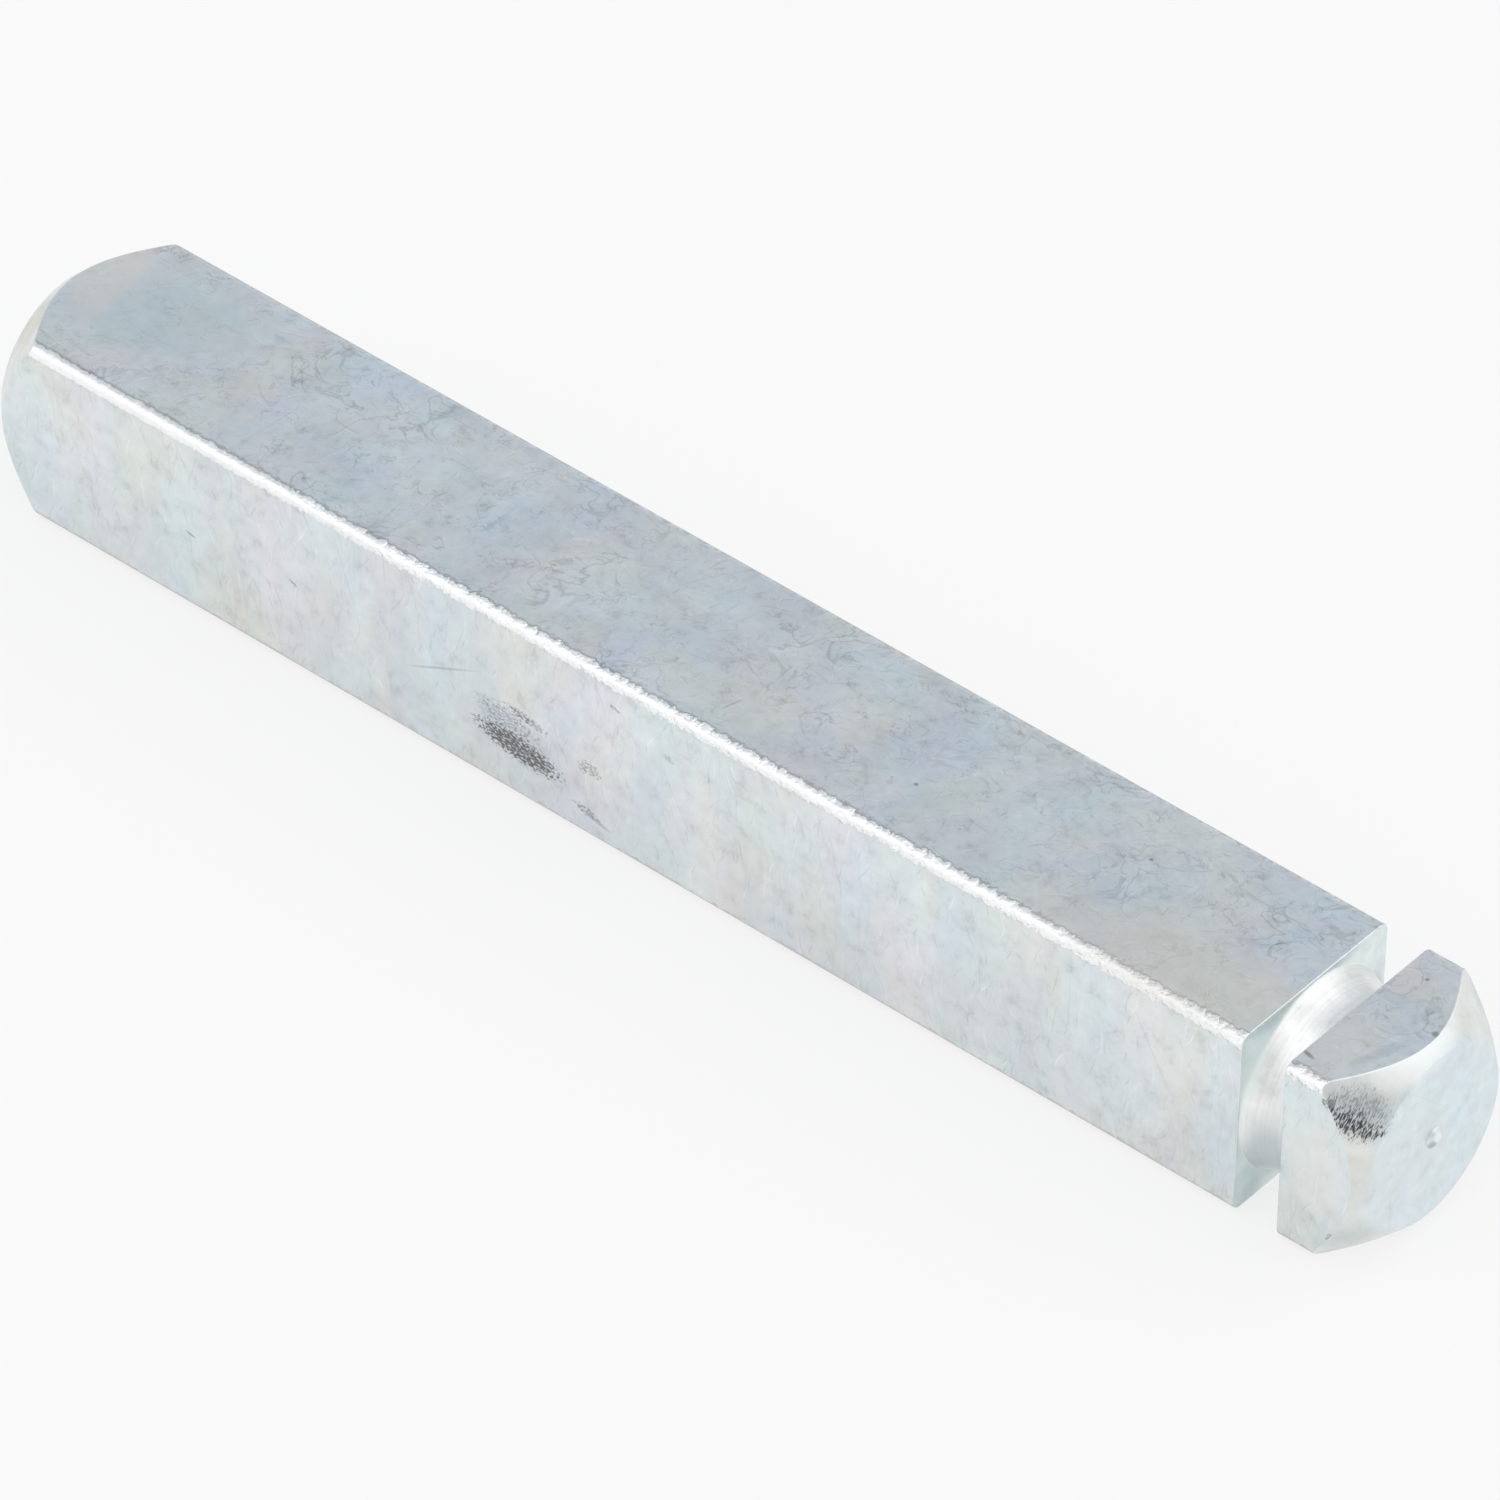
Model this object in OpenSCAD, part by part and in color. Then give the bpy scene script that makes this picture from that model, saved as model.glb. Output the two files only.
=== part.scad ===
// Door handle spindle, in millimetres.
// One square steel bar, turned at both ends and necked behind a short head.
// +X runs along the bar towards the head, and the bar lies on one flat at Z = 0.

/* [Bar] */
// Width of the square bar across its flats
across_flats = 9; // [7:0.5:12]
// Length from the tail face to the head face
bar_length = 70.5; // [40:0.5:140]
// Radius of the four long edges
edge_radius = 0.5; // [0.2:0.05:1]

/* [Turned ends] */
// Depth that the end chamfer takes off the middle of each flat, across the bar
chamfer_depth = 0.5; // [0.1:0.05:1]
// Angle between the end chamfer and the bar's axis
chamfer_angle = 45; // [35:1:60]

/* [Head and neck] */
// Length of the square head, from the neck to the head face
head_length = 3.9; // [3.5:0.1:10]
// Width of the neck along the bar
neck_width = 2.1; // [1:0.1:2.5]
// Depth of the neck below the middle of each flat, where it meets the head
neck_depth = 0.6; // [0.3:0.05:1.5]
// Radius of the neck's hollow floor, which falls from the shoulder to the head
neck_curve = 4.6; // [3:0.1:8]

/* [Parting pip] */
// Diameter of the pip that the parting tool leaves on the head face
pip_diameter = 1; // [0.4:0.1:2]
// Height of the pip above the head face
pip_height = 0.25; // [0.1:0.05:0.5]

/* [Hidden] */
$fn = 96;
zinc_colour = [0.76, 0.79, 0.81];

half_flats = across_flats / 2;
edge_centre = half_flats - edge_radius;

// Radius that clears the square's corners, where the turned profile leaves the bar uncut
clear_radius = across_flats;
face_radius = half_flats - chamfer_depth;
chamfer_run = (clear_radius - face_radius) / tan(chamfer_angle);

neck_radius = half_flats - neck_depth;
neck_end = bar_length - head_length;
neck_start = neck_end - neck_width;

// Ball whose cap stands out of the head face as the pip
pip_ball_radius = (pow(pip_diameter / 2, 2) + pow(pip_height, 2)) / (2 * pip_height);
overall_length = bar_length + pip_height;

// Section of the drawn bar: a square with rounded corners
module bar_section() {
    square([across_flats, 2 * edge_centre], center = true);
    square([2 * edge_centre, across_flats], center = true);
    for (x = [-edge_centre, edge_centre], y = [-edge_centre, edge_centre])
        translate([x, y]) circle(r = edge_radius);
}

// Slot with straight walls and a hollow floor, as radius against length along the bar
module neck_section() {
    translate([neck_radius, neck_start])
    intersection() {
        square([clear_radius, neck_width]);
        union() {
            translate([neck_curve, neck_width]) circle(r = neck_curve);
            translate([neck_curve, 0]) square([clear_radius, neck_width]);
        }
    }
}

// What the lathe leaves, as radius against length along the bar
module turned_section() {
    difference() {
        polygon([
            [0, 0],
            [face_radius, 0],
            [clear_radius, chamfer_run],
            [clear_radius, bar_length - chamfer_run],
            [face_radius, bar_length],
            [0, bar_length]
        ]);
        neck_section();
    }
}

// Square bar cut to the turned profile, standing on its tail along +Z
module turned_bar() {
    intersection() {
        linear_extrude(height = bar_length) bar_section();
        rotate_extrude() turned_section();
    }
}

module spindle() {
    color(zinc_colour)
    translate([-overall_length / 2, 0, half_flats])
    rotate([0, 90, 0]) {
        turned_bar();
        translate([0, 0, overall_length - pip_ball_radius]) sphere(r = pip_ball_radius);
    }
}

spindle();
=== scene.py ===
"""Door handle spindle of bright zinc-plated steel, dressed and lit as a studio product picture.

Object sizes are in millimetres, and become metres where they meet the frame.
"""
import logging
import math
from dataclasses import dataclass
from enum import Enum
from itertools import pairwise
from typing import Any

import bmesh
import bpy
from mathutils import Matrix, Vector


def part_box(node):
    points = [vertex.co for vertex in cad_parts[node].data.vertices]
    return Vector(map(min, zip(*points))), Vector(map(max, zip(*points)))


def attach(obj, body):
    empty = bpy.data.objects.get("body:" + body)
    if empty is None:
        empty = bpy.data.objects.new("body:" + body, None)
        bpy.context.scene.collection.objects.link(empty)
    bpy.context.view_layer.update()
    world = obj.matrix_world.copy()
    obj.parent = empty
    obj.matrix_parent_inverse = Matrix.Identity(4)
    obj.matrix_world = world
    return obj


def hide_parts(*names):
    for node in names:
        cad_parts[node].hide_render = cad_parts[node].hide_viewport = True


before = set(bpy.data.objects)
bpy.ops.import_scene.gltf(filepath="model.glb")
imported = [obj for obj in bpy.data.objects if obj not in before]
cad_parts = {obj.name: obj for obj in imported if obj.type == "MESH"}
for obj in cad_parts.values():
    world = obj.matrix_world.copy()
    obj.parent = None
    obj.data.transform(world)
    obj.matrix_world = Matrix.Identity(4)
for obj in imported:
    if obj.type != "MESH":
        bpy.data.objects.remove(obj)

LOG = logging.getLogger("spindle")
MM = 0.001

Tree = bpy.types.NodeTree
Socket = bpy.types.NodeSocket


def linear(hex_colour: str) -> tuple[float, float, float, float]:
    """Turns an sRGB hex colour into linear light.

    Args:
        hex_colour: Colour such as "#D5DBE0".

    Returns:
        Red, green, blue and an alpha of one, in linear light.
    """
    levels = [int(hex_colour[i : i + 2], 16) / 255 for i in (1, 3, 5)]
    light = [v / 12.92 if v <= 0.04045 else ((v + 0.055) / 1.055) ** 2.4 for v in levels]
    return (*light, 1.0)


def feed(tree: Tree, node: bpy.types.Node, inputs: dict[str | int, Any]) -> None:
    """Sets or links a node's inputs.

    Args:
        tree: Node tree that holds the node.
        node: Node to feed.
        inputs: Input socket, by name or index, to a constant or to another node's output.
    """
    for key, value in inputs.items():
        if isinstance(value, Socket):
            tree.links.new(value, node.inputs[key])
        else:
            node.inputs[key].default_value = value


def add_node(
    tree: Tree,
    kind: str,
    inputs: dict[str | int, Any] | None = None,
    out: str | int = 0,
    **settings: Any,
) -> Socket:
    """Adds one node, sets its properties and feeds its inputs.

    Args:
        tree: Node tree that gets the node.
        kind: Blender's type name of the node.
        inputs: Input socket, by name or index, to a constant or to another node's output.
        out: Output socket to give back, by name or index.
        **settings: Properties of the node.

    Returns:
        The chosen output of the new node.
    """
    node = tree.nodes.new(kind)
    for name, value in settings.items():
        setattr(node, name, value)
    feed(tree, node, inputs or {})
    return node.outputs[out]


class Cut(Enum):
    """How two solids are put together."""

    COMMON = "INTERSECT"
    JOIN = "UNION"


class Skin(Enum):
    """Which tool made a face: the drawing die or the lathe."""

    DRAWN = 0
    TURNED = 1


class Cover(Enum):
    """How a mark covers the plate: whole, or broken into grains that lie close or apart.

    The value is how far the middle of a broken mark lifts the noise of its grains.
    """

    WHOLE = 0.0
    CLOSE = 0.23
    SPARSE = 0.15


# Sockets of a Mix node that hold colours
MIX_A = 6
MIX_B = 7
MIX_RESULT = 2

# Mean direction of the scratches and their spread about it, in radians
SIDE_STROKES = (1.57, 1.1)
LEVEL_STROKES = (2.44, 2.0)


@dataclass(frozen=True)
class Place:
    """Sockets that say where on the spindle a point is, in millimetres.

    Attributes:
        own: Point as x from the tail face, and y and z from the bar's axis.
        x: Length along the bar.
        radius: Distance from the axis.
        flat: Point as length along the bar and girth round it, alike on all four flats.
        border: Smaller of the distances across the bar, which is greatest at a long edge.
        level: 1 on the top and bottom flats, and 0 on the two sides.
        handled: z less y, which is greatest at the near top long edge: the one that is rubbed most and
            carries the painted highlight.
        heading: Mean direction of scratches: aslant on top and bottom, and upright on the two sides.
        spread: Spread of their directions about the mean.
    """

    own: Socket
    x: Socket
    radius: Socket
    flat: Socket
    border: Socket
    level: Socket
    handled: Socket
    heading: Socket
    spread: Socket

    @classmethod
    def on(cls, tree: Tree, tail: Vector) -> "Place":
        """Reads a point's place from the object's own coordinates.

        Args:
            tree: Material's node tree.
            tail: Middle of the tail face, in metres.

        Returns:
            The sockets of the place.
        """
        where = add_node(tree, "ShaderNodeTexCoord", out="Object")
        own = add_node(
            tree,
            "ShaderNodeMapping",
            {"Vector": where, "Location": tuple(-tail / MM), "Scale": (1 / MM, 1 / MM, 1 / MM)},
        )
        split = add_node(tree, "ShaderNodeSeparateXYZ", {0: own}).node.outputs
        across = add_node(tree, "ShaderNodeCombineXYZ", {"Y": split["Y"], "Z": split["Z"]})
        girth = add_node(tree, "ShaderNodeMath", {0: split["Y"], 1: split["Z"]}, operation="ADD")
        side = add_node(tree, "ShaderNodeMath", {0: split["Y"]}, operation="ABSOLUTE")
        rise = add_node(tree, "ShaderNodeMath", {0: split["Z"]}, operation="ABSOLUTE")
        level = add_node(tree, "ShaderNodeMath", {0: rise, 1: side}, operation="GREATER_THAN")
        handled = add_node(tree, "ShaderNodeMath", {0: split["Z"], 1: split["Y"]}, operation="SUBTRACT")
        heading, spread = (
            add_node(tree, "ShaderNodeMapRange", {"Value": level, "To Min": on_side, "To Max": on_level})
            for on_side, on_level in zip(SIDE_STROKES, LEVEL_STROKES)
        )
        return cls(
            own=own,
            x=split["X"],
            radius=add_node(tree, "ShaderNodeVectorMath", {0: across}, out="Value", operation="LENGTH"),
            flat=add_node(tree, "ShaderNodeCombineXYZ", {"X": split["X"], "Y": girth}),
            border=add_node(tree, "ShaderNodeMath", {0: side, 1: rise}, operation="MINIMUM"),
            level=level,
            handled=handled,
            heading=heading,
            spread=spread,
        )


@dataclass(frozen=True)
class Scratches:
    """One layer of handling scratches, with one slightly bowed stroke in each cell of a random net.

    Attributes:
        cell: Mean distance between strokes, in millimetres.
        half_length: Half the length of a stroke, in millimetres.
        half_width: Half the width of a stroke, in millimetres.
        shade: Share of the light that the stroke takes away, or adds where it is below 0.
        share: Share of the cells that hold a stroke.
        bow: Bend of the most bowed stroke, per millimetre.
        core: Share of the half length over which a stroke keeps its full strength.
    """

    cell: float
    half_length: float
    half_width: float
    shade: float
    share: float = 0.8
    bow: float = 0.5
    core: float = 0.3

    def mask(self, tree: Tree, place: Place) -> Socket:
        """Draws the strokes.

        Args:
            tree: Material's node tree.
            place: Where a point is.

        Returns:
            Strength of the stroke at each point, from 0 to 1.
        """
        net = add_node(
            tree,
            "ShaderNodeTexVoronoi",
            {"Vector": place.flat, "Scale": 1 / self.cell},
            out="Position",
            voronoi_dimensions="2D",
        )
        dice = add_node(tree, "ShaderNodeSeparateColor", {0: net.node.outputs["Color"]}).node.outputs
        offset = add_node(tree, "ShaderNodeVectorMath", {0: place.flat, 1: net}, operation="SUBTRACT")
        swing = add_node(tree, "ShaderNodeMath", {0: dice[0], 1: 0.5}, operation="SUBTRACT")
        angle = add_node(
            tree,
            "ShaderNodeMath",
            {0: swing, 1: place.spread, 2: place.heading},
            operation="MULTIPLY_ADD",
        )
        turned = add_node(
            tree, "ShaderNodeVectorRotate", {"Vector": offset, "Angle": angle}, rotation_type="Z_AXIS"
        )
        local = add_node(tree, "ShaderNodeSeparateXYZ", {0: turned}).node.outputs
        along_squared = add_node(
            tree, "ShaderNodeMath", {0: local["X"], 1: local["X"]}, operation="MULTIPLY"
        )
        bend = add_node(
            tree, "ShaderNodeMapRange", {"Value": dice[1], "To Min": -self.bow, "To Max": self.bow}
        )
        bowed = add_node(
            tree, "ShaderNodeMath", {0: along_squared, 1: bend, 2: local["Y"]}, operation="MULTIPLY_ADD"
        )
        across = add_node(tree, "ShaderNodeMath", {0: bowed}, operation="ABSOLUTE")
        along = add_node(tree, "ShaderNodeMath", {0: local["X"]}, operation="ABSOLUTE")
        line = add_node(
            tree,
            "ShaderNodeMapRange",
            {"Value": across, "From Max": self.half_width, "To Min": 1.0, "To Max": 0.0},
            interpolation_type="SMOOTHSTEP",
        )
        ends = add_node(
            tree,
            "ShaderNodeMapRange",
            {
                "Value": along,
                "From Min": self.core * self.half_length,
                "From Max": self.half_length,
                "To Min": 1.0,
                "To Max": 0.0,
            },
        )
        weight = add_node(
            tree, "ShaderNodeMapRange", {"Value": dice[2], "From Min": 1 - self.share, "From Max": 1.0}
        )
        stroke = add_node(tree, "ShaderNodeMath", {0: line, 1: ends}, operation="MULTIPLY")
        return add_node(tree, "ShaderNodeMath", {0: stroke, 1: weight}, operation="MULTIPLY")


# Levels of the noise in a broken mark between which clean plate turns into a grain
GRAIN_LEVELS = (0.57, 0.72)
# Strength at the rim of a broken mark under which its grains fade out
RIM_STRENGTH = 0.2


@dataclass(frozen=True)
class Mark:
    """One rub, nick or stain, or one painted highlight or shade, at its own place on the spindle.

    Attributes:
        at: Middle of the mark, as x from the tail face, and y and z from the axis, in millimetres.
        reach: Half sizes along the mark's own axes, in millimetres.
        turn: Turn of the mark about x, y and z, in radians.
        depth: Strength at the middle, from 0 to 1.
        cover: How the mark covers the plate. Grains grow sparse towards its rim.
        colour: Colour of the bare metal, smear or film in the mark, or of the painted light or shade.
        core: Share of the reach over which the mark keeps its full strength.
    """

    at: tuple[float, float, float]
    reach: tuple[float, float, float]
    turn: tuple[float, float, float] = (0.0, 0.0, 0.0)
    depth: float = 0.5
    cover: Cover = Cover.WHOLE
    colour: str = "#50555A"
    core: float = 0.35

    def mask(self, tree: Tree, place: Place, grains: Socket) -> Socket:
        """Draws the mark.

        Args:
            tree: Material's node tree.
            place: Where a point is.
            grains: Noise that breaks up a mark in grains.

        Returns:
            Strength of the mark at each point.
        """
        local = add_node(
            tree,
            "ShaderNodeMapping",
            {"Vector": place.own, "Location": self.at, "Rotation": self.turn, "Scale": self.reach},
            vector_type="TEXTURE",
        )
        distance = add_node(tree, "ShaderNodeVectorMath", {0: local}, out="Value", operation="LENGTH")
        spot = add_node(
            tree,
            "ShaderNodeMapRange",
            {"Value": distance, "From Min": self.core, "From Max": 1.0, "To Min": 1.0, "To Max": 0.0},
            interpolation_type="SMOOTHSTEP",
        )
        if self.cover is Cover.WHOLE:
            return add_node(tree, "ShaderNodeMath", {0: spot, 1: self.depth}, operation="MULTIPLY")
        cover = add_node(
            tree, "ShaderNodeMath", {0: spot, 1: self.cover.value, 2: grains}, operation="MULTIPLY_ADD"
        )
        clean, grain = GRAIN_LEVELS
        broken = add_node(
            tree,
            "ShaderNodeMapRange",
            {"Value": cover, "From Min": clean, "From Max": grain, "To Max": self.depth},
        )
        inside = add_node(tree, "ShaderNodeMapRange", {"Value": spot, "From Max": RIM_STRENGTH})
        return add_node(tree, "ShaderNodeMath", {0: broken, 1: inside}, operation="MULTIPLY")


# Levels between which most of a noise lies
LOW_NOISE = 0.3
HIGH_NOISE = 0.7
# Levels of the clouds between which a smudge grows from nothing to its darkest
SMUDGE_LEVELS = (0.43, 0.29)
# Lanes of curls to the width of one curl, and levels of a noise between which such a lane begins
LANES_PER_CURL = 0.55
LANE_LEVELS = (0.46, 0.64)
# Scales that stretch a pattern down the sides: tints that drained as they dried, and upright curls
DRAINED = (1.0, 1.0, 0.45)
UPRIGHT = (1.0, 1.0, 0.28)


@dataclass(frozen=True)
class ZincPlate:
    """Bright zinc plate with a clear passivation, a pale silver with faint interference tints.

    Attributes:
        name: Material name.
        scratches: Layers of handling scratches.
        marks: Rubs, nicks, stains, painted highlights and painted shade at their own places.
        colour: Mean colour of the plate.
        film: Swings of red, green and blue from patch to patch of the passivation, in linear light:
            from blue to straw, from pink to green, and from dark to light.
        roughness: Mean roughness of the plate.
        rough_swing: Swing of the roughness from grain to grain.
        rub_roughness: Roughness that a mark adds.
        patch: Size of one patch of tint, in millimetres.
        curl: Sizes of the fine and the coarse curls that parts rub in the plating barrel, in millimetres.
        curl_shade: Share of the light that a curl takes away, on the sides and on the top and bottom.
        curl_line: Half the width of a curl, in levels of the noise that draws it.
        cloud: Size of one cloud in the plate's brightness, in millimetres.
        cloud_swing: Share of the light that a cloud adds or takes away.
        smudge_shade: Share of the light that the darkest smudges take away, where a cloud is thickest.
        grain: Size of the plate's crystal grain, drawn coarser than the real one so that it shows.
        grain_height: Height of that grain, in millimetres.
        scratch_depth: Depth of a scratch that takes all the light away, in millimetres.
        streak: Sizes of one grain of a mark, along and across the rub, in millimetres.
        streak_turn: Turn of those grains about x, y and z, in radians.
    """

    name: str
    scratches: tuple[Scratches, ...]
    marks: tuple[Mark, ...]
    colour: str
    film: tuple[tuple[float, float, float], ...]
    roughness: float = 0.33
    rough_swing: float = 0.06
    rub_roughness: float = 0.2
    patch: float = 3.2
    curl: tuple[float, float] = (0.8, 1.84)
    curl_shade: tuple[float, float] = (0.06, 0.2)
    curl_line: float = 0.03
    cloud: float = 0.8
    cloud_swing: float = 0.075
    smudge_shade: float = 0.1
    grain: float = 0.2
    grain_height: float = 0.004
    scratch_depth: float = 0.01
    streak: tuple[float, float, float] = (0.17, 0.1, 0.08)
    streak_turn: tuple[float, float, float] = (0.0, 0.126, 0.0)

    def tint(self, tree: Tree, place: Place) -> Socket:
        """Mixes the interference tints of the passivation, which ran down the sides as it dried.

        Args:
            tree: Material's node tree.
            place: Where a point is.

        Returns:
            Colour of the clean plate.
        """
        drained = add_node(tree, "ShaderNodeMapping", {"Vector": place.own, "Scale": DRAINED})
        film = add_node(
            tree,
            "ShaderNodeTexNoise",
            {"Vector": drained, "Scale": 1 / self.patch, "Detail": 3.0, "Distortion": 0.3},
            out="Color",
        )
        layers = add_node(tree, "ShaderNodeSeparateColor", {0: film}).node.outputs
        lowest = Vector(linear(self.colour)[:3])
        for swing in self.film:
            lowest -= Vector(swing) / 2
        colour: Socket | Vector = lowest
        for layer, swing in zip(layers, self.film):
            colour = add_node(
                tree, "ShaderNodeVectorMath", {0: layer, 1: swing, 2: colour}, operation="MULTIPLY_ADD"
            )
        return colour

    def curled(self, tree: Tree, place: Place, size: float) -> Socket:
        """Draws the fine curls that tumbling in the plating barrel leaves, upright on the two sides.

        Args:
            tree: Material's node tree.
            place: Where a point is.
            size: Size of one curl, in millimetres.

        Returns:
            Strength of the curls, from 0 to 1.
        """
        upright = add_node(tree, "ShaderNodeMapping", {"Vector": place.own, "Scale": UPRIGHT})
        field = add_node(
            tree,
            "ShaderNodeTexNoise",
            {"Vector": upright, "Scale": 1 / size, "Detail": 3.0, "Distortion": 0.7},
        )
        level = add_node(tree, "ShaderNodeMath", {0: field, 1: 0.5}, operation="SUBTRACT")
        away = add_node(tree, "ShaderNodeMath", {0: level}, operation="ABSOLUTE")
        line = add_node(
            tree,
            "ShaderNodeMapRange",
            {"Value": away, "From Max": self.curl_line, "To Min": 1.0, "To Max": 0.0},
            interpolation_type="SMOOTHSTEP",
        )
        lanes = add_node(
            tree,
            "ShaderNodeTexNoise",
            {"Vector": place.own, "Scale": LANES_PER_CURL / size, "Detail": 2.0},
        )
        outside, inside = LANE_LEVELS
        part = add_node(
            tree, "ShaderNodeMapRange", {"Value": lanes, "From Min": outside, "From Max": inside}
        )
        return add_node(tree, "ShaderNodeMath", {0: line, 1: part}, operation="MULTIPLY")

    def scratched(self, tree: Tree, place: Place) -> Socket:
        """Adds up the scratch layers and the curls.

        Args:
            tree: Material's node tree.
            place: Where a point is.

        Returns:
            Share of the light that the scratches take away.
        """
        fine, coarse = (self.curled(tree, place, size) for size in self.curl)
        curls = add_node(tree, "ShaderNodeMath", {0: fine, 1: coarse}, operation="ADD")
        on_side, on_level = self.curl_shade
        shade = add_node(
            tree, "ShaderNodeMapRange", {"Value": place.level, "To Min": on_side, "To Max": on_level}
        )
        total = add_node(tree, "ShaderNodeMath", {0: curls, 1: shade}, operation="MULTIPLY")
        for layer in self.scratches:
            total = add_node(
                tree,
                "ShaderNodeMath",
                {0: layer.mask(tree, place), 1: layer.shade, 2: total},
                operation="MULTIPLY_ADD",
            )
        return total

    def marked(self, tree: Tree, place: Place, colour: Socket) -> tuple[Socket, Socket | float]:
        """Lays the marks over the plate, each at its own place.

        Args:
            tree: Material's node tree.
            place: Where a point is.
            colour: Colour of the plate without its marks.

        Returns:
            Colour of the marked plate, and the strength of the marks, from 0 to 1.
        """
        drawn_out = add_node(
            tree,
            "ShaderNodeMapping",
            {"Vector": place.own, "Rotation": self.streak_turn, "Scale": self.streak},
            vector_type="TEXTURE",
        )
        grains = add_node(
            tree,
            "ShaderNodeTexNoise",
            {"Vector": drawn_out, "Scale": 1.0, "Detail": 3.0, "Distortion": 0.4},
        )
        total: Socket | float = 0.0
        for mark in self.marks:
            spot = mark.mask(tree, place, grains)
            total = add_node(tree, "ShaderNodeMath", {0: spot, 1: total}, operation="MAXIMUM")
            colour = add_node(
                tree,
                "ShaderNodeMix",
                {"Factor": spot, MIX_A: colour, MIX_B: linear(mark.colour)},
                out=MIX_RESULT,
                data_type="RGBA",
            )
        return colour, total

    def wear_and_edge_light(self, tree: Tree, place: Place, colour: Socket) -> Socket:
        """Gives back the colour as it is, for a plate whose edges get neither wear nor a painted
        highlight.
        """
        return colour

    def relief(self, tree: Tree, place: Place) -> Socket:
        """Says how high the tool left the surface, in millimetres."""
        raise NotImplementedError

    def material(self, tail: Vector) -> bpy.types.Material:
        """Builds the plate's material.

        Args:
            tail: Middle of the tail face, in metres.

        Returns:
            The finished material.
        """
        made = bpy.data.materials.new(self.name)
        made.use_nodes = True
        tree = made.node_tree
        place = Place.on(tree, tail)
        grain = add_node(
            tree,
            "ShaderNodeTexNoise",
            {"Vector": place.own, "Scale": 1 / self.grain, "Detail": 4.0, "Roughness": 0.6},
        )
        scratched = self.scratched(tree, place)
        clouds = add_node(
            tree,
            "ShaderNodeTexNoise",
            {"Vector": place.own, "Scale": 1 / self.cloud, "Detail": 6.0, "Roughness": 0.7},
        )
        cloud = add_node(
            tree,
            "ShaderNodeMapRange",
            {
                "Value": clouds,
                "From Min": LOW_NOISE,
                "From Max": HIGH_NOISE,
                "To Min": 1 - self.cloud_swing,
                "To Max": 1 + self.cloud_swing,
            },
        )
        clean, darkest = SMUDGE_LEVELS
        smudge = add_node(
            tree,
            "ShaderNodeMapRange",
            {"Value": clouds, "From Min": clean, "From Max": darkest, "To Max": self.smudge_shade},
        )
        soiled = add_node(tree, "ShaderNodeMath", {0: cloud, 1: smudge}, operation="SUBTRACT")
        bright = add_node(tree, "ShaderNodeMath", {0: soiled, 1: scratched}, operation="SUBTRACT")
        shaded = add_node(
            tree, "ShaderNodeVectorMath", {0: self.tint(tree, place), "Scale": bright}, operation="SCALE"
        )
        colour, rubbed = self.marked(tree, place, self.wear_and_edge_light(tree, place, shaded))
        dull = add_node(
            tree,
            "ShaderNodeMapRange",
            {
                "Value": grain,
                "From Min": LOW_NOISE,
                "From Max": HIGH_NOISE,
                "To Min": self.roughness - self.rough_swing,
                "To Max": self.roughness + self.rough_swing,
            },
        )
        rough = add_node(
            tree, "ShaderNodeMath", {0: rubbed, 1: self.rub_roughness, 2: dull}, operation="MULTIPLY_ADD"
        )
        height = self.relief(tree, place)
        grained = add_node(
            tree, "ShaderNodeMath", {0: grain, 1: self.grain_height, 2: height}, operation="MULTIPLY_ADD"
        )
        cut = add_node(
            tree,
            "ShaderNodeMath",
            {0: scratched, 1: -self.scratch_depth, 2: grained},
            operation="MULTIPLY_ADD",
        )
        bump = add_node(tree, "ShaderNodeBump", {"Height": cut, "Strength": 1.0, "Distance": MM})
        feed(
            tree,
            tree.nodes["Principled BSDF"],
            {"Base Color": colour, "Roughness": rough, "Normal": bump, "Metallic": 1.0},
        )
        return made


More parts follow.
